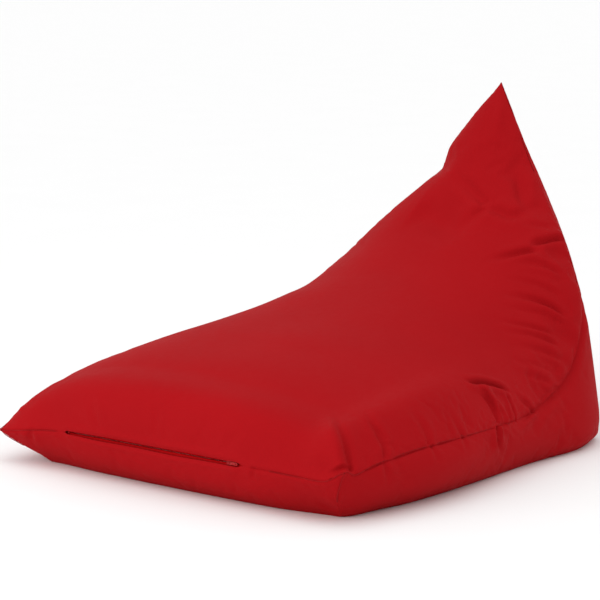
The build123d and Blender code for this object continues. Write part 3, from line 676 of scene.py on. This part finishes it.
DISP += low_part * (-(.0012 + .0024 * deep) * np.exp(-(dseam / (.0032 + .0065 * deep))**2)
                    + (.0006 + .0020 * deep) * np.exp(-((dseam - .014 - .010 * deep) / (.009 + .007 * deep))**2)
                    + .0005 * (ripple - .5) * np.exp(-(dseam / .020)**2))
# front seam beside the slit: its stitching draws in a little more
fs = IDX["front_band"][:, 0]
fs = fs[(P[fs, 0] > ZIP_X1 + .02) | (P[fs, 0] < ZIP_X0 - .03)]
kd = KDTree(len(fs))
for n, i in enumerate(fs):
    kd.insert(P[i], n)
kd.balance()
for i in np.nonzero(dseam < .02)[0]:
    d = kd.find(P[i])[2]
    if d < .02:
        DISP[i] += -.0017 * np.exp(-(d / .0030)**2) + .0006 * np.exp(-((d - .009) / .005)**2)
# broad, faint unevenness of the filling
DISP += .0022 * wave3(P, 9, 21) * smooth(dseam / .08) + .0008 * wave3(P, 26, 22) * smooth(dseam / .05)
P = P + NRM * DISP[:, None]
trim_outline([(501, 82.5), (478, 109), (459, 133), (450, 145), (447.5, 152), (445, 161), (442.5, 169), (436, 174), (426, 181), (396, 205), (370, 229), (346, 253), (316, 277), (299, 289)], False, 15)
trim_outline([(127, 349), (96, 361), (71, 373), (49, 385), (32, 397), (18.5, 409), (7.5, 421), (2, 428)], False, 12)
trim_outline([(502, 82.5), (512.3, 109), (526.4, 145), (542.4, 181), (557.3, 217), (570.2, 253), (580.2, 289), (588.2, 325), (593, 361), (596, 385), (599, 409), (599.5, 420), (598, 433)], True, 13)
P[:, 2] = np.maximum(P[:, 2], 0)

# ----------------------------------------------------- slit over the zip
ZC, Y_LIP = .099215, -.6497           # middle of the zip, front of the lips


def slit_half(x):
    """half height of the slit: room for the pull tab up to its left end,
    a little wider towards the right, closing short there"""
    up = .0040 * smooth((x - ZIP_X0 + .005) / .008) + .0012 * smooth((x - ZIP_X0 - .01) / .15)
    return up * smooth((ZIP_X1 - x) / .022)


opened = {}
for name, sg in ((SEAT, 1), ("front_band", -1)):
    g = P[IDX[name]]
    x, y0_, z0_ = g[:, :1, 0], g[:, :1, 1], g[:, :1, 2]
    d = np.linalg.norm(np.diff(g, axis=1), axis=2)
    d = np.concatenate([np.zeros((g.shape[0], 1)), np.cumsum(d, axis=1)], axis=1)
    zone = smooth((x - ZIP_X0 + .03) / .03) * smooth((ZIP_X1 + .03 - x) / .03)
    h = slit_half(x)
    # the lips stand in front of the slider, level with the zip, a little uneven
    h = h * (1 + .30 * (.5 + .5 * np.sin(2 * np.pi * (x - sg * .03) / (.21 if sg > 0 else .27))) * smooth((x - ZIP_X0 - .02) / .08))
    lift_ = (zone * (ZC - z0_) + sg * h) * np.exp(-(d / .024)**2)
    puff = zone * (Y_LIP - y0_) * np.exp(-(d / .035)**2) - .0016 * (h / .005) * np.exp(-((d - .009) / .008)**2)
    g[..., 2] += lift_
    g[..., 1] += puff
    opened[name] = g
for name, g in opened.items():
    fine[name] = g
    P[IDX[name].ravel()] = g.reshape(-1, 3)
for n in (RS, "left_side_panel", "back_panel"):
    fine[n] = P[IDX[n]]
zip_cols = np.nonzero((fine[SEAT][:, 0, 0] > ZIP_X0 - .012) & (fine[SEAT][:, 0, 0] < ZIP_X1 + .004))[0]


# ---------------------------------------------------------------- pieces
def grid_piece(name, g, flip=False, mat=None):
    """a sheet of quads with a thread-count map in metres"""
    n, m, _ = g.shape
    key = np.round(g.reshape(-1, 3) * 1e6).astype(np.int64)
    _, first, inv = np.unique(key, axis=0, return_index=True, return_inverse=True)
    inv = inv.ravel()
    idx = inv.reshape(n, m)
    q = np.stack([idx[:-1, :-1], idx[1:, :-1], idx[1:, 1:], idx[:-1, 1:]], -1).reshape(-1, 4)
    if flip:
        q = q[:, ::-1]
    faces = []
    for f in q:
        u = []
        for v_ in f:
            if v_ not in u:
                u.append(int(v_))
        if len(u) > 2:
            faces.append(u)
    ob = mesh_object(name, g.reshape(-1, 3)[first], faces)
    du = np.linalg.norm(np.diff(g, axis=0), axis=2)
    dv = np.linalg.norm(np.diff(g, axis=1), axis=2)
    uu = np.concatenate([np.zeros((1, m)), np.cumsum(du, axis=0)])
    uu = uu - uu[n // 2:n // 2 + 1]
    vv_ = np.concatenate([np.zeros((n, 1)), np.cumsum(dv, axis=1)], axis=1)
    uvs = np.stack([uu, vv_], -1).reshape(-1, 2)[first]
    lay = ob.data.uv_layers.new(name="weave")
    li = np.empty(len(ob.data.loops), int)
    ob.data.loops.foreach_get("vertex_index", li)
    lay.data.foreach_set("uv", uvs[li].astype(np.float32).ravel())
    flatmap = np.stack(np.meshgrid(np.linspace(.005, .995, n), np.linspace(.005, .995, m), indexing="ij"), -1).reshape(-1, 2)[first]
    lay = ob.data.uv_layers.new(name="OFBake")
    lay.data.foreach_set("uv", flatmap[li].astype(np.float32).ravel())
    if mat:
        ob.data.materials.append(mat)
    return ob


def tube(name, path, radius, sides=7, mat=None, pitch=None, flat=1.0, up=None):
    """round or oval run along a line; pitch gives it the swell of stitches"""
    path = np.asarray(path, float)
    tan = np.gradient(path, axis=0)
    tan /= np.maximum(np.linalg.norm(tan, axis=1, keepdims=True), 1e-9)
    ref = np.tile(np.array([0, 0, 1.0]) if up is None else up, (len(path), 1)) if up is None or np.ndim(up) == 1 else np.asarray(up)
    a = np.cross(tan, ref)
    bad = np.linalg.norm(a, axis=1) < .05
    a[bad] = np.cross(tan[bad], np.array([1.0, .2, 0]))
    a /= np.linalg.norm(a, axis=1, keepdims=True)
    b = np.cross(a, tan)
    s = np.concatenate([[0], np.cumsum(np.linalg.norm(np.diff(path, axis=0), axis=1))])
    r = np.full(len(path), radius)
    if pitch:
        r = radius * (.78 + .22 * np.abs(np.sin(np.pi * s / pitch)))
    th = np.linspace(0, 2 * np.pi, sides, endpoint=False)
    v = (path[:, None] + r[:, None, None] * (np.cos(th)[None, :, None] * a[:, None] + flat * np.sin(th)[None, :, None] * b[:, None]))
    n = len(path)
    faces = []
    for i in range(n - 1):
        for k in range(sides):
            k2 = (k + 1) % sides
            faces.append((i * sides + k, i * sides + k2, (i + 1) * sides + k2, (i + 1) * sides + k))
    faces.append(tuple(range(sides))[::-1])
    faces.append(tuple((n - 1) * sides + k for k in range(sides)))
    ob = mesh_object(name, v.reshape(-1, 3), faces)
    if mat:
        ob.data.materials.append(mat)
    return ob


def join_pieces(name, obs):
    """one piece out of several meshes"""
    bm = bmesh.new()
    for o_ in obs:
        bm.from_mesh(o_.data)
    me = bpy.data.meshes.new(name)
    bm.to_mesh(me)
    bm.free()
    me.polygons.foreach_set("use_smooth", [True] * len(me.polygons))
    ob = bpy.data.objects.new(name, me)
    scene.collection.objects.link(ob)
    for m in obs[0].data.materials:
        me.materials.append(m)
    for o_ in obs:
        bpy.data.objects.remove(o_, do_unlink=True)
    return ob


skin_n = vnormals(skin.data).copy()
bpy.data.objects.remove(skin, do_unlink=True)

# ------------------------------------------------------------ materials
def link(t, a, b):
    t.links.new(a, b)


def new_tree(name):
    m = bpy.data.materials.new(name)
    m.use_nodes = True
    t = m.node_tree
    for n in list(t.nodes):
        t.nodes.remove(n)
    out = t.nodes.new("ShaderNodeOutputMaterial")
    b = t.nodes.new("ShaderNodeBsdfPrincipled")
    link(t, b.outputs[0], out.inputs[0])
    return m, t, b


def ramp(t, fac, stops):
    r = t.nodes.new("ShaderNodeValToRGB")
    e = r.color_ramp.elements
    e[0].position, e[0].color = stops[0][0], (*stops[0][1], 1)
    e[1].position, e[1].color = stops[-1][0], (*stops[-1][1], 1)
    for p_, c_ in stops[1:-1]:
        x = e.new(p_)
        x.color = (*c_, 1)
    link(t, fac, r.inputs["Fac"])
    return r.outputs["Color"]


def noise(t, vec, scale, detail=3.0, rough=.5):
    n = t.nodes.new("ShaderNodeTexNoise")
    n.inputs["Scale"].default_value = scale
    n.inputs["Detail"].default_value = detail
    n.inputs["Roughness"].default_value = rough
    link(t, vec, n.inputs["Vector"])
    return n.outputs["Fac"]


def rough_from(t, fac, lo, hi):
    r = t.nodes.new("ShaderNodeMapRange")
    r.inputs["To Min"].default_value = lo
    r.inputs["To Max"].default_value = hi
    link(t, fac, r.inputs["Value"])
    return r.outputs["Result"]


def bump(t, height, strength, distance, under=None):
    b = t.nodes.new("ShaderNodeBump")
    b.inputs["Strength"].default_value = strength
    b.inputs["Distance"].default_value = distance
    link(t, height, b.inputs["Height"])
    if under is not None:
        link(t, under, b.inputs["Normal"])
    return b.outputs["Normal"]


def woven(name, col, dark, pitch=.0006, rough=(.62, .78), spec=.030, sheen=.02, tint=(1, .25, .22), uv=True, weave_bump=.35, worn=None):
    """plain-weave cloth: crossed threads, uneven dye, soft handling marks"""
    m, t, b = new_tree(name)
    tc = t.nodes.new("ShaderNodeTexCoord")
    if uv:
        u = t.nodes.new("ShaderNodeUVMap")
        u.uv_map = "weave"
        vec = u.outputs["UV"]
    else:
        vec = tc.outputs["Object"]
    waves = []
    for d in ("X", "Y"):
        w = t.nodes.new("ShaderNodeTexWave")
        w.wave_type, w.bands_direction, w.wave_profile = "BANDS", d, "SIN"
        w.inputs["Scale"].default_value = .314159 / (2 * pitch)
        w.inputs["Distortion"].default_value = .35
        w.inputs["Detail"].default_value = 1.0
        w.inputs["Detail Scale"].default_value = .2
        link(t, vec, w.inputs["Vector"])
        waves.append(w.outputs["Fac"])
    mul = t.nodes.new("ShaderNodeMath")
    mul.operation = "MULTIPLY"
    link(t, waves[0], mul.inputs[0])
    link(t, waves[1], mul.inputs[1])
    ob = tc.outputs["Object"]
    big = noise(t, ob, 4.5, 4.0, .55)
    mid = noise(t, ob, 60.0, 3.0, .55)
    c1 = ramp(t, big, [(.30, dark), (.72, col)])
    mix = t.nodes.new("ShaderNodeMixRGB")
    mix.blend_type = "MULTIPLY"
    mix.inputs["Fac"].default_value = .16
    link(t, c1, mix.inputs["Color1"])
    link(t, ramp(t, mul.outputs[0], [(.0, (.55, .55, .55)), (.6, (1, 1, 1))]), mix.inputs["Color2"])
    link(t, mix.outputs["Color"], b.inputs["Base Color"])
    link(t, rough_from(t, mid, *rough), b.inputs["Roughness"])
    b.inputs["Specular IOR Level"].default_value = spec
    b.inputs["Sheen Weight"].default_value = sheen
    b.inputs["Sheen Roughness"].default_value = .5
    b.inputs["Sheen Tint"].default_value = (*tint, 1)
    n1 = bump(t, mul.outputs[0], weave_bump, .00015)
    n2 = bump(t, mid, .12, .0016, n1)
    n3 = bump(t, big, .25, .006, n2)
    link(t, n3, b.inputs["Normal"])
    return m


def nylon(name, col, dark, rough=(.35, .5), spec=.2):
    m, t, b = new_tree(name)
    tc = t.nodes.new("ShaderNodeTexCoord")
    f = noise(t, tc.outputs["Object"], 400.0, 2.0)
    link(t, ramp(t, f, [(.3, dark), (.7, col)]), b.inputs["Base Color"])
    link(t, rough_from(t, f, *rough), b.inputs["Roughness"])
    link(t, bump(t, f, .15, .0001), b.inputs["Normal"])
    b.inputs["Specular IOR Level"].default_value = spec
    return m


def lacquer(name, col, worn):
    """painted zinc with the paint rubbed through in random patches"""
    m, t, b = new_tree(name)
    tc = t.nodes.new("ShaderNodeTexCoord")
    f = noise(t, tc.outputs["Object"], 260.0, 4.0, .6)
    g = noise(t, tc.outputs["Object"], 900.0, 2.0)
    link(t, ramp(t, f, [(.0, col), (.62, col), (.74, worn)]), b.inputs["Base Color"])
    link(t, rough_from(t, g, .40, .55), b.inputs["Roughness"])
    link(t, bump(t, g, .08, .0001), b.inputs["Normal"])
    b.inputs["Metallic"].default_value = .1
    b.inputs["Specular IOR Level"].default_value = .25
    return m


def thread(name, col, dark):
    m, t, b = new_tree(name)
    tc = t.nodes.new("ShaderNodeTexCoord")
    f = noise(t, tc.outputs["Object"], 1500.0, 2.0)
    g = noise(t, tc.outputs["Object"], 30.0, 2.0)
    link(t, ramp(t, g, [(.3, dark), (.7, col)]), b.inputs["Base Color"])
    link(t, rough_from(t, f, .5, .72), b.inputs["Roughness"])
    link(t, bump(t, f, .4, .0002), b.inputs["Normal"])
    b.inputs["Specular IOR Level"].default_value = .1
    return m


def bead_material(name):
    m, t, b = new_tree(name)
    tc = t.nodes.new("ShaderNodeTexCoord")
    v = t.nodes.new("ShaderNodeTexVoronoi")
    v.inputs["Scale"].default_value = 220.0
    link(t, tc.outputs["Object"], v.inputs["Vector"])
    # each bead white in its middle, greyer towards its rim: painted shade in the crevices between the beads
    link(t, ramp(t, v.outputs["Distance"], [(.1, (.93, .93, .92)), (.6, (.55, .55, .54))]), b.inputs["Base Color"])
    inv_ = t.nodes.new("ShaderNodeMath")
    inv_.operation = "SUBTRACT"
    inv_.inputs[0].default_value = 1.0
    link(t, v.outputs["Distance"], inv_.inputs[1])
    link(t, bump(t, inv_.outputs[0], .8, .003), b.inputs["Normal"])
    b.inputs["Roughness"].default_value = .75
    return m


RED = (.379, .0050, .0080)
RED_D = (.359, .0044, .0072)
m_cover = woven("cover_cloth", RED, RED_D)
m_thread = thread("seam_thread", (.33, .0035, .0055), (.28, .0028, .0045))
# zip tape and coil: a real red tape, but a lighter red than the cover as painted light, to lift the shade inside the
# slit behind the lips
m_tape_painted_light = woven("zip_tape", (.54, .0036, .0054), (.48, .0030, .0046), pitch=.0008, uv=False, weave_bump=.5)
m_coil_painted_light = nylon("zip_coil", (.50, .0036, .0054), (.44, .0030, .0046), (.6, .75), .05)
m_metal = lacquer("slider_metal", (.36, .0050, .0070), (.47, .09, .08))
m_liner = woven("liner_cloth", (.80, .80, .78), (.70, .70, .69), pitch=.0009, rough=(.7, .85), tint=(1, 1, 1), weave_bump=.5)
m_lcoil = nylon("liner_coil", (.82, .82, .80), (.70, .70, .68))
m_bead = bead_material("beads")
m_ltape = woven("liner_tape", (.78, .78, .76), (.68, .68, .66), pitch=.0008, rough=(.7, .85), tint=(1, 1, 1), uv=False, weave_bump=.5)

# ------------------------------------------------------------ cover panels
FLIP = {n: f for n, _, f in PANELS}
cover = {}
for n in NAMES[:5]:
    cover[n] = grid_piece(n + "_cloth", fine[n], FLIP[n], m_cover)
# floor panel: sewn edge, a turned ring and the flat middle
bm = bmesh.new()
ring0 = [bm.verts.new(p) for p in np.concatenate([fine["front_band"][:, -1], fine[RS][-1, 1:j74 + 1], fine["back_panel"][-2:0:-1, 0], fine["left_side_panel"][-1, j74:0:-1]])]
mid_ = np.array([0, 0, 0.0])
prev = ring0
for inset in (.006, .03, .12):
    cur = []
    for v_ in ring0:
        c_ = np.array(v_.co)
        d_ = (mid_ - c_) * np.array([1, 1, 0])
        d_ /= np.linalg.norm(d_)
        q_ = c_ + d_ * inset
        q_[2] = 0
        cur.append(bm.verts.new(q_))
    for a_ in range(len(ring0)):
        b_ = (a_ + 1) % len(ring0)
        bm.faces.new((prev[b_], prev[a_], cur[a_], cur[b_]))
    prev = cur
bm.faces.new(prev[::-1])
bmesh.ops.triangulate(bm, faces=[f for f in bm.faces if len(f.verts) > 4])
me = bpy.data.meshes.new("base_panel_cloth")
bm.to_mesh(me)
bm.free()
uvl = me.uv_layers.new(name="weave")
for lp in me.loops:
    uvl.data[lp.index].uv = me.vertices[lp.vertex_index].co[:2]
me.polygons.foreach_set("use_smooth", [True] * len(me.polygons))
cover["base_panel"] = bpy.data.objects.new("base_panel_cloth", me)
scene.collection.objects.link(cover["base_panel"])
me.materials.append(m_cover)

FLAT = {"seat_panel": (1.45, 1.75, .63), "right_side_panel": (.34, 1.95, .40), "left_side_panel": (.34, 1.95, .40),
        "front_band": (1.06, .12, .93), "back_panel": (.84, .92, .61), "base_panel": (.99, 1.10, .92)}
for n, ob in cover.items():
    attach(ob, "bag")
    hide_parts(n)
    w_, l_, k_ = FLAT[n]
    a_ = sum(p.area for p in ob.data.polygons)
    print("sheet", n, round(a_, 4), round(a_ / (w_ * l_), 3))


# --------------------------------------------------------------- seam runs
def dense(p, step_=.0011):
    ln = np.linalg.norm(np.diff(p, axis=0), axis=1)
    s = np.concatenate([[0], np.cumsum(ln)])
    q = np.arange(0, s[-1], step_)
    return np.stack([np.interp(q, s, p[:, k]) for k in range(3)], 1)


def sink(ids, depth=.0012):
    return P[ids] - NRM2[ids] * depth


NRM2 = all_normals(P)
tip_row = int(np.searchsorted(np.interp(rows_f, np.arange(NV), ROWS), .985))
jt = int(np.searchsorted(np.interp(rows_f, np.arange(NV), ROWS), .965))


def seam_piece(name, runs, r=.0009):
    obs = [tube(name + str(i), dense(q), r, 6, m_thread, .0032) for i, q in enumerate(runs)]
    ob = join_pieces(name + "_stitching", obs) if len(obs) > 1 else obs[0]
    if len(obs) == 1:
        ob.name = name + "_stitching"
        ob.data.name = ob.name
    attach(ob, "bag")
    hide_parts(name)
    return ob


seam_piece("right_seat_seam", [sink(IDX[RS][0, :tip_row])])
seam_piece("left_seat_seam", [sink(IDX["left_side_panel"][0, :tip_row])])
seam_piece("right_back_seam", [sink(IDX[RS][-1, j74:jt])])
seam_piece("left_back_seam", [sink(IDX["left_side_panel"][-1, j74:jt])])
seam_piece("front_corner_seams", [sink(IDX[RS][:, 0]), sink(IDX["left_side_panel"][:, 0])])
sx = P[IDX[SEAT][:, 0], 0]
ca, cb = int(np.searchsorted(sx, ZIP_X0 - .004)), int(np.searchsorted(sx, ZIP_X1 - .002))
seam_piece("front_seam", [sink(IDX[SEAT][:ca, 0]), sink(IDX[SEAT][cb:, 0])])
lift = np.array([0, 0, .0012])
seam_piece("base_seam", [P[IDX["front_band"][:, -1]] + lift, P[IDX[RS][-1, :j74 + 1]] + lift,
                         P[IDX["left_side_panel"][-1, :j74 + 1]] + lift, P[IDX["back_panel"][:, 0]] + lift], .0010)

# ----------------------------------------------------------- lips of the slit
Y0 = -.0063 - YS + .0086
for name, sg, node in ((SEAT, 1, "zip_upper_facing"), ("front_band", -1, "zip_lower_facing")):
    e = fine[name][zip_cols, 0]
    hh = sg * (e[:, 2] - ZC)
    room = np.maximum(hh, .0057 * smooth((e[:, 0] - ZIP_X0 + .005) / .006) * smooth((ZIP_X1 - e[:, 0]) / .020))
    rows_ = [e]
    # turns in at the edge, clears the slider's way and runs back to the tape
    for dy, k_, dz in ((.0005, .05, .0), (.0011, .5, .0), (.0018, 1, .0), (.0052, 1, .0), (.0073, 1, .0006)):
        q = e.copy()
        q[:, 1] += dy
        q[:, 2] += sg * ((room - hh) * k_ + dz * room / .0057)
        rows_.append(q)
    g = np.stack(rows_, 1)
    ob = grid_piece(node + "_lip", g, sg > 0, m_cover)
    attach(ob, "bag")
    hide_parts(node)
    a_ = sum(p.area for p in ob.data.polygons)
    print("lip", a_)

# ------------------------------------------------------------- zip's works
for nm, sg in (("upper", 1), ("lower", -1)):
    x = np.arange(-.303, .2110, .00022)
    ph = 2 * np.pi * x / .0017 + (0 if sg > 0 else np.pi)
    zc = ZC + sg * .0011
    path = np.stack([x + .00045 * np.sin(ph), Y0 - .00135 + .00072 * np.cos(ph), zc + .00085 * np.sin(ph + sg * .4)], 1)
    ob = tube(f"zip_{nm}_coil_helix", path, .00028, 5, m_coil_painted_light)
    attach(ob, "bag")
    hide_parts(f"zip_{nm}_coil")
paint = {"zip_upper_tape": m_tape_painted_light, "zip_lower_tape": m_tape_painted_light, "zip_top_stops": m_metal, "zip_bottom_stop": m_metal,
         "zip_slider_body": m_metal, "zip_slider_crown": m_metal, "zip_pull_tab": m_metal, "zip_bar_tacks": m_thread,
         "liner_zip_tapes": m_ltape, "liner_zip_coils": m_lcoil, "liner_zip_stops": m_lcoil, "liner_zip_slider": m_metal}
for n, m in paint.items():
    o_ = nodes[n]
    if len(o_.data.materials) == 0:
        o_.data.materials.append(m)
    for k in range(len(o_.material_slots)):
        o_.material_slots[k].material = m

# ------------------------------------------------------ inner bag and beads
base_n = {}
cp = {n: pos[index[n]] for n in NAMES}
cn = skin_n


def inner_grid(n, d):
    cut = int(np.searchsorted(ROWS, .93))
    i = index[n]
    if n in (SEAT, RS, "left_side_panel"):
        i = i[::3 if n == SEAT else 2, :cut:3]
        i = np.concatenate([i], 1)
    elif n == "back_panel":
        i = i[::3, :cut - n_low:3]
    elif n == "front_band":
        i = i[::3, ::2]
    else:
        i = i[::3, ::4]
    p = pos[i] - cn[i] * d
    ear = smooth((np.abs(p[..., 0]) - .34) / .14) * smooth((-.40 - p[..., 1]) / .16)
    c = np.stack([np.sign(p[..., 0]) * .36, np.full(p.shape[:-1], -.44), np.full(p.shape[:-1], .10)], -1)
    return p + (ear * .5)[..., None] * (c - p)


LFLAT = {"seat_panel": ("liner_seat", 1.40, 1.55), "front_band": ("liner_front", 1.04, .12), "right_side_panel": ("liner_right", .34, 1.70),
         "left_side_panel": ("liner_left", .34, 1.70), "back_panel": ("liner_back", .82, .70), "base_panel": ("liner_base", .98, 1.08)}
for n, (node, w_, l_) in LFLAT.items():
    g = inner_grid(n, .020 if n not in ("front_band",) else .024)
    g[..., 2] = np.maximum(g[..., 2], .004)
    ob = grid_piece(node + "_cloth", g, FLIP[n], m_liner)
    a_ = sum(p.area for p in ob.data.polygons)
    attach(ob, "bag")
    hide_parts(node)
    print("liner", node, round(a_, 3), round(a_ / (w_ * l_), 3))
fobs = []
for n in NAMES:
    g = inner_grid(n, .034)
    g[..., 2] = np.maximum(g[..., 2], .008)
    fobs.append(grid_piece("bf_" + n, g, FLIP[n], m_bead))
ob = join_pieces("bead_fill_mass", fobs)
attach(ob, "bag")
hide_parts("bead_fill")

# --------------------------------------------------------------- look
world = bpy.data.worlds.new("studio")
scene.world = world
world.use_nodes = True
bg = world.node_tree.nodes["Background"]
bg.inputs["Color"].default_value = (1, 1, 1, 1)
bg.inputs["Strength"].default_value = .83
scene.view_settings.view_transform = "Standard"
scene.view_settings.look = "None"


def area(name, loc, target, size, power):
    d = bpy.data.lights.new(name, "AREA")
    d.shape = "DISK"
    d.size = size
    d.energy = power
    o_ = bpy.data.objects.new(name, d)
    scene.collection.objects.link(o_)
    o_.location = loc
    o_.rotation_euler = (Vector(target) - Vector(loc)).to_track_quat("-Z", "Y").to_euler()
    return o_


area("key", (-.9, -4.0, 1.6), (0, 0, .3), 2.4, 34)
area("fill", (-1.5, -4.6, .6), (0, 0, .2), 2.0, 12)
over = bpy.data.lights.new("overhead", "SUN")
over.energy = .80
over.angle = 1.2
over_ob = bpy.data.objects.new("overhead", over)
scene.collection.objects.link(over_ob)
over_ob.rotation_euler = (.12, .06, 0)

floor = mesh_object("floor", [(-40, -40, -.0006), (40, -40, -.0006), (40, 40, -.0006), (-40, 40, -.0006)], [(0, 1, 2, 3)])
fm, ft, fb = new_tree("floor")
ftc = ft.nodes.new("ShaderNodeTexCoord")
ff = noise(ft, ftc.outputs["Object"], 3.0, 2.0)
link(ft, ramp(ft, ff, [(.0, (.910, .910, .910)), (1.0, (.925, .925, .925))]), fb.inputs["Base Color"])
fb.inputs["Roughness"].default_value = .9
fb.inputs["Specular IOR Level"].default_value = .1
floor.data.materials.append(fm)
